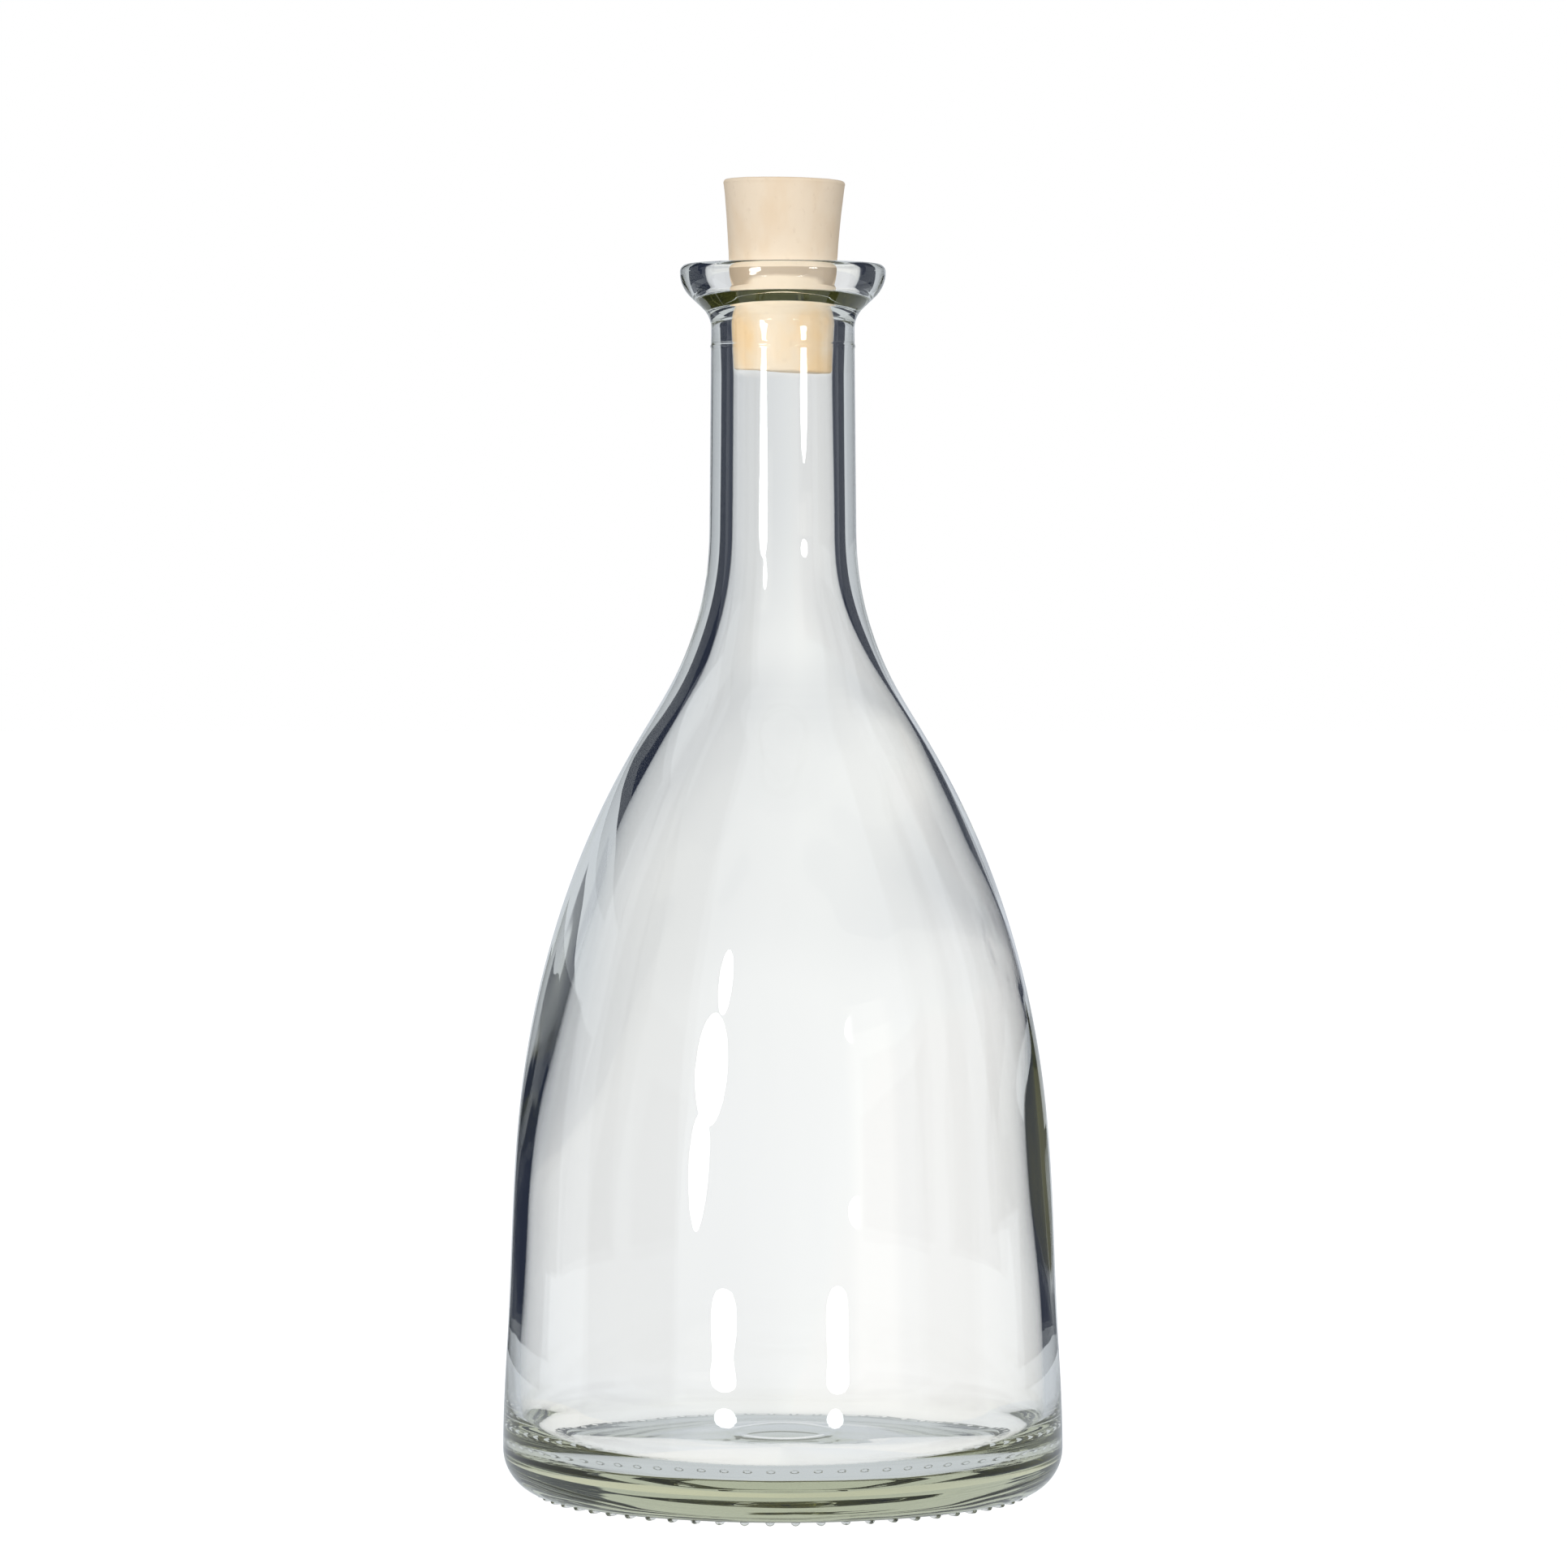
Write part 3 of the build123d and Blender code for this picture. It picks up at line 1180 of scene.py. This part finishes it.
@dataclass
class CorkStopper:
    """The tapered cork: its lower end follows the seat in the mouth, its upper end flares.

    Heights are above the table. Angles are in degrees.

    Attributes:
        name: Name of the piece.
        bottom_height: Height of the lower face.
        seat_height: Height of the top of the lip, where the flare starts.
        top_height: Height of the upper face before it leans.
        bottom_radius: Radius of the lower face.
        seat_radius: Radius level with the top of the lip.
        top_radius: Radius of the upper face.
        edge_radius: Rounding of both faces' edges.
        around: Faces in one turn.
        curve_step: Greatest distance between two points of the outline.
        flare_steps: Steps in the flare.
        edge_steps: Steps in each rounding.
        lean: How far the upper end leans, over to the right.
        bottom_slant: How far the lower face slants, up to the left from its right side.
        dents: Unevenness of the cut surface.
        sharpest: Angle over which an edge stays sharp.
    """

    name: str = "cork_stopper_worn"
    bottom_height: float = 0.1997
    seat_height: float = 0.2194
    top_height: float = 0.2344
    bottom_radius: float = 0.00877
    seat_radius: float = 0.00967
    top_radius: float = 0.01094
    edge_radius: float = 0.0006
    around: int = 144
    curve_step: float = 0.0005
    flare_steps: int = 24
    edge_steps: int = 6
    lean: float = 1.0
    bottom_slant: float = 2.3
    dents: Unevenness = Unevenness("cork_dents", 0.0030, 0.00010, middle=1.0)
    sharpest: float = 60.0

    def outline(self) -> list[Point]:
        """Draws half of the cork's section, from the axis below to the axis above."""
        seat_heading = (
            self.seat_radius - self.bottom_radius,
            self.seat_height - self.bottom_height,
        )
        flare = tangent_arc(
            (self.seat_radius, self.seat_height),
            (self.top_radius, self.top_height),
            seat_heading,
            self.flare_steps,
        )
        below = rounded_line(
            [(0, self.bottom_height), (self.bottom_radius, self.bottom_height), flare[0]],
            [self.edge_radius],
            self.edge_steps,
        )
        above = rounded_line(
            [flare[-2], (self.top_radius, self.top_height), (0, self.top_height)],
            [self.edge_radius],
            self.edge_steps,
        )
        return divided([*below, *flare[1:-2], *above], self.curve_step)

    def build(self) -> bpy.types.Object:
        """Models the cork as one closed surface."""
        cork = draw_outline(self.name, self.outline())
        turn(cork, self.around)
        cork = join([cork])
        self.dents.press(cork, lambda places: np.ones(len(places)))
        self.set_askew(cork)
        shade(cork, self.sharpest)
        return cork

    def set_askew(self, cork: bpy.types.Object) -> None:
        """Leans the end above the glass, and slants the lower face up from its right side."""
        with editing(cork):
            pick_vertices(cork, lambda v: v.co.z > self.seat_height)
            middle = (0, 0, self.seat_height)
            angle = -math.radians(self.lean)
            bpy.ops.transform.rotate(value=angle, orient_axis="Y", center_override=middle)
            pick_vertices(cork, lambda v: v.co.z < self.bottom_height + 2 * self.edge_radius)
            corner = (self.bottom_radius, 0, self.bottom_height)
            angle = -math.radians(self.bottom_slant)
            bpy.ops.transform.rotate(value=angle, orient_axis="Y", center_override=corner)

    def make(self, finish: bpy.types.Material) -> bpy.types.Object:
        """Builds and dresses the cork and puts it in the place of its CAD node."""
        cork = self.build()
        cork.data.materials.append(finish)
        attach(cork, Body.STOPPER.value)
        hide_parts("cork_stopper")
        return cork


# The studio


@dataclass(frozen=True)
class Strip:
    """An upright light in front of the bottle: it either shines in the glass or lights the scene.

    Attributes:
        name: Name of the light.
        azimuth: Degrees of its middle to the right of the camera, seen from the bottle.
        low: Height of its lower end.
        high: Height of its upper end.
        width: Width of its face.
        level: Brightness of its face, where 1 is white.
        lean: Degrees that its upper end leans to the right.
        distance: Distance of its middle from the bottle's axis.
        lights: True where it lights the scene and isn't mirrored, False where it only shines.
    """

    name: str
    azimuth: float
    low: float
    high: float
    width: float
    level: float
    lean: float = 0.0
    distance: float = 0.45
    lights: bool = False

    def build(self) -> bpy.types.Object:
        """Hangs the light so that its face looks at the bottle's axis."""
        tall = (self.high - self.low) / math.cos(math.radians(self.lean))
        data = bpy.data.lights.new(self.name, "AREA")
        data.shape = "ELLIPSE"
        data.size, data.size_y = self.width, tall
        # Power is pi times brightness times area, and an ellipse fills pi / 4 of its box.
        data.energy = self.level * math.pi * self.width * tall * math.pi / 4
        lamp = bpy.data.objects.new(self.name, data)
        bpy.context.scene.collection.objects.link(lamp)
        side = math.radians(self.azimuth)
        place = (
            self.distance * math.sin(side),
            -self.distance * math.cos(side),
            (self.low + self.high) / 2,
        )
        lamp.matrix_world = (
            Matrix.Translation(place)
            @ Matrix.Rotation(side, 4, "Z")
            @ Matrix.Rotation(math.radians(QUARTER), 4, "X")
            @ Matrix.Rotation(math.radians(-self.lean), 4, "Z")
        )
        lamp.visible_camera = lamp.visible_transmission = False
        lamp.visible_diffuse = self.lights
        lamp.visible_glossy = not self.lights
        return lamp


@dataclass(frozen=True)
class Screen:
    """A curved card beside the bottle, seen only in what the glass mirrors.

    The cards stand in rings with gaps at each quarter turn. Most are dark, so that the edges of
    the glass draw dark from each side, while what shows straight through it stays white. A gap
    between a lower and a higher card leaves the edges light over a part of their height.

    Attributes:
        name: Name of the card.
        start: Degrees to the right of dead ahead at which it starts.
        end: Degrees at which it ends.
        tone: Colour of the card.
        distance: Distance of the card from the bottle's axis.
        low: Height of its lower edge.
        high: Height of its upper edge.
        soft: Degrees over which it fades in at each side.
        steps: Faces in its curve.
    """

    name: str
    start: float
    end: float
    tone: CardTone
    distance: float = 0.20
    low: float = 0.0
    high: float = 0.42
    soft: float = 2.0
    steps: int = 12

    def build(self) -> bpy.types.Object:
        """Stands the card in its place."""
        side = math.radians(self.start)
        foot = (self.distance * math.sin(side), self.distance * math.cos(side))
        card = draw_line(self.name, [(*foot, self.low), (*foot, self.high)])
        with editing(card):
            spin_all(self.steps, math.radians(self.start - self.end))
        material, sheet = new_material(self.name)
        depth = sheet.add("ShaderNodeLightPath").outputs["Glossy Depth"]
        mirrored = sheet.maths("GREATER_THAN", depth, ONCE)
        place = sheet.add("ShaderNodeTexCoord").outputs["Object"]
        azimuth = sheet.azimuth(sheet.add("ShaderNodeSeparateXYZ", {0: place}).outputs)
        left = sheet.ramp(azimuth, self.start, self.start + self.soft, 0.0, 1.0)
        right = sheet.ramp(azimuth, self.end - self.soft, self.end, 1.0, 0.0)
        share = sheet.maths("MULTIPLY", mirrored, sheet.maths("MINIMUM", left, right))
        clear = sheet.add("ShaderNodeBsdfTransparent")
        plain = sheet.add("ShaderNodeEmission", {"Color": (*self.tone.value, 1.0)})
        sheet.show_mixed(share, clear, plain)
        card.data.materials.append(material)
        card.visible_camera = card.visible_diffuse = card.visible_shadow = False
        return card


@dataclass(frozen=True)
class Studio:
    """Camera, lights, floor and surroundings of the picture.

    Attributes:
        camera_place: Place of the camera.
        camera_pitch: Degrees that it looks up, or down where below zero.
        lens: Focal length in millimetres.
        film_width: Width of the film in millimetres.
        strips: Lights in front of the bottle.
        screens: Cards round the bottle.
        backdrop: Tones of what shows straight through the glass.
        ambient: Brightness of the surroundings as they light the scene.
        mirrored: Colour of the surroundings after one mirroring in the glass.
        mirrored_floor: Colour of the floor after one mirroring.
        trapped_depth: Number of mirrorings after which light counts as trapped in the glass.
        trapped: Colour that trapped light comes out with.
        floor_size: Side of the floor.
        floor_drop: How far the floor lies under the knurls, so that the faces don't touch.
        floor_glow: Brightness that the floor has to the camera even in shadow.
        floor_paper: Share of the light on the floor that the camera sees besides.
        floor_plain: Share of the light that the floor gives back to the scene.
        eye_height: Height from which the backdrop's tones fall on the floor.
        bounces: Most bounces of a ray in all.
        mirrorings: Most glossy bounces.
        passages: Most passages through glass.
        clear_passages: Most passages through clear cards.
    """

    camera_place: tuple[float, float, float] = (0.000116, -1.15944, 0.16238)
    camera_pitch: float = -1.76
    lens: float = 149.07
    film_width: float = 36.0
    strips: tuple[Strip, ...] = (
        Strip("left_strip_foot", -34.0, 0.045, 0.130, 0.065, 16.0, lean=17.0),
        Strip("left_strip", -30.5, 0.120, 0.235, 0.108, 16.0, lean=17.0),
        Strip("left_strip_head", -27.0, 0.236, 0.320, 0.050, 16.0, lean=6.0),
        Strip("right_strip", 33.0, 0.200, 0.236, 0.090, 16.0),
        Strip("right_body_spot", 29.9, 0.046, 0.064, 0.060, 14.0),
        Strip("left_low_spot", -23.0, 0.0193, 0.0265, 0.080, 14.0),
        Strip("right_low_spot", 21.3, 0.0187, 0.0275, 0.070, 14.0),
        Strip("left_foot_spot", -22.0, 0.0020, 0.0130, 0.070, 14.0),
        Strip("right_foot_spot", 20.0, 0.0020, 0.0130, 0.050, 14.0),
        Strip("front_light", -8.0, 0.20, 0.90, 0.70, 6.2, distance=1.2, lights=True),
    )
    screens: tuple[Screen, ...] = (
        Screen("back_left_card", -82.0, -33.0, CardTone.LEFT_DARK, low=0.03, high=0.122),
        Screen("neck_left_card", -82.0, -25.0, CardTone.LEFT_DARK, low=0.16, high=0.25),
        Screen("back_right_card", 25.5, 82.0, CardTone.RIGHT_DARK, 0.50, low=0.03, high=0.90),
        Screen("mouth_left_card", -82.0, -27.5, CardTone.LEFT_DARK, 0.09, low=0.207),
        Screen("mouth_right_card", 32.0, 82.0, CardTone.RIGHT_DARK, 0.09, low=0.207),
        Screen("foot_left_card", -82.0, -35.0, CardTone.LEFT_DARK, 0.12, low=0.015, high=0.10),
        Screen("foot_right_card", 36.0, 82.0, CardTone.RIGHT_DARK, 0.12, low=0.015, high=0.06),
        Screen("front_left_card", -140.0, -98.0, CardTone.FRONT_DARK),
        Screen("front_right_card", 98.0, 126.0, CardTone.FRONT_GREY),
        Screen("right_sheet", 130.0, 156.0, CardTone.WHITE, 0.30, high=0.188, soft=7.0),
    )
    backdrop: Backdrop = Backdrop()
    ambient: float = 0.52
    mirrored: Colour = (0.62, 0.66, 0.72)
    mirrored_floor: Colour = (0.60, 0.64, 0.69)
    trapped_depth: float = 8.5
    trapped: Colour = (0.16, 0.16, 0.11)
    floor_size: float = 12.0
    floor_drop: float = 0.00002
    floor_glow: float = 0.90
    floor_paper: float = 0.32
    floor_plain: float = 0.80
    eye_height: float = 0.14
    bounces: int = 96
    mirrorings: int = 64
    passages: int = 32
    clear_passages: int = 24

    def camera(self) -> None:
        """Sets up the camera at the photograph's place."""
        data = bpy.data.cameras.new("camera")
        data.lens, data.sensor_width = self.lens, self.film_width
        camera = bpy.data.objects.new("camera", data)
        bpy.context.scene.collection.objects.link(camera)
        camera.location = self.camera_place
        camera.rotation_euler = (math.radians(QUARTER + self.camera_pitch), 0, 0)
        bpy.context.scene.camera = camera

    def bent_tone(
        self,
        sheet: NodeSheet,
        path: bpy.types.bpy_prop_collection,
        way: bpy.types.NodeSocket,
        mirrored: Colour,
    ) -> bpy.types.NodeSocket:
        """Tones what is seen through the glass or mirrored in it.

        Args:
            sheet: Sheet of the world or the floor.
            path: Outputs of its light path.
            way: Direction away from the bottle.
            mirrored: Colour after one mirroring.

        Returns:
            The backdrop's tone for light that was never mirrored, the given colour for light
            that was, and the trapped colour for light that was mirrored many times.
        """
        tone = sheet.add("ShaderNodeGroup", {"Way": way}, node_tree=self.backdrop.group())
        once = sheet.maths("GREATER_THAN", path["Glossy Depth"], ONCE)
        often = sheet.maths("GREATER_THAN", path["Glossy Depth"], self.trapped_depth)
        return sheet.mix(once, tone.outputs["Tone"], sheet.mix(often, mirrored, self.trapped))

    def surroundings(self) -> None:
        """Builds the world: white to the camera, near white through glass, soft elsewhere."""
        world = bpy.data.worlds.new("studio")
        world.use_nodes = True
        bpy.context.scene.world = world
        sheet = NodeSheet(world.node_tree)
        path = sheet.add("ShaderNodeLightPath").outputs
        bent = sheet.maths("MAXIMUM", path["Is Glossy Ray"], path["Is Transmission Ray"])
        clean = sheet.maths("LESS_THAN", path["Diffuse Depth"], ONCE)
        bent = sheet.maths("MULTIPLY", bent, clean)
        way = sheet.add("ShaderNodeTexCoord").outputs["Generated"]
        through = self.bent_tone(sheet, path, way, self.mirrored)
        seen = sheet.mix(bent, (self.ambient,) * 3, through)
        colour = sheet.mix(path["Is Camera Ray"], seen, (1.0, 1.0, 1.0))
        background = sheet.add("ShaderNodeBackground", {"Color": colour, "Strength": 1.0})
        sheet.add("ShaderNodeOutputWorld", {"Surface": background.outputs[0]})

    def floor(self) -> bpy.types.Object:
        """Lays the plain pale floor that keeps the bottle's shadow."""
        bpy.ops.object.select_all(action="DESELECT")
        middle = (0, 0, -self.floor_drop)
        bpy.ops.mesh.primitive_plane_add(size=self.floor_size, location=middle)
        floor = bpy.context.active_object
        floor.name = "floor"
        material, sheet = new_material("pale_floor")
        path = sheet.add("ShaderNodeLightPath").outputs
        bent = sheet.maths("MAXIMUM", path["Is Glossy Ray"], path["Is Transmission Ray"])
        direct = path["Is Camera Ray"]
        plain = sheet.add("ShaderNodeBsdfDiffuse", {"Color": (*(self.floor_plain,) * 3, 1.0)})
        grey = sheet.mix(direct, (0.0, 0.0, 0.0), (self.floor_paper,) * 3)
        paper = sheet.add("ShaderNodeBsdfDiffuse", {"Color": grey})
        place = sheet.add("ShaderNodeNewGeometry").outputs["Position"]
        eye = {0: place, 1: (0.0, 0.0, self.eye_height)}
        way = sheet.add("ShaderNodeVectorMath", eye, operation="SUBTRACT").outputs[0]
        through = self.bent_tone(sheet, path, way, self.mirrored_floor)
        glow = sheet.mix(direct, through, (self.floor_glow,) * 3)
        shine = sheet.add("ShaderNodeEmission", {"Color": glow})
        lit = sheet.add("ShaderNodeAddShader", {0: paper.outputs[0], 1: shine.outputs[0]})
        sheet.show_mixed(sheet.maths("MAXIMUM", direct, bent), plain, lit)
        floor.data.materials.append(material)
        return floor

    def build(self) -> None:
        """Sets the whole studio up, and lets light go often enough through thick glass."""
        self.camera()
        self.surroundings()
        self.floor()
        for thing in (*self.strips, *self.screens):
            thing.build()
        scene = bpy.context.scene
        scene.view_settings.view_transform = "Standard"
        scene.cycles.max_bounces = self.bounces
        scene.cycles.glossy_bounces = self.mirrorings
        scene.cycles.transmission_bounces = self.passages
        scene.cycles.transparent_max_bounces = self.clear_passages


def main() -> None:
    """Loads the frame, makes each piece in its place and sets up the studio."""
    logging.basicConfig(level=logging.INFO, format="%(message)s")
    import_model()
    makers = (
        (GlassBottle(), GlassFinish().build()),
        (CorkStopper(), CorkFinish().build()),
    )
    for maker, finish in makers:
        piece = maker.make(finish)
        piece.data.calc_loop_triangles()
        LOG.info("%s: %d triangles", piece.name, len(piece.data.loop_triangles))
    Studio().build()


if __name__ == "__main__":
    main()
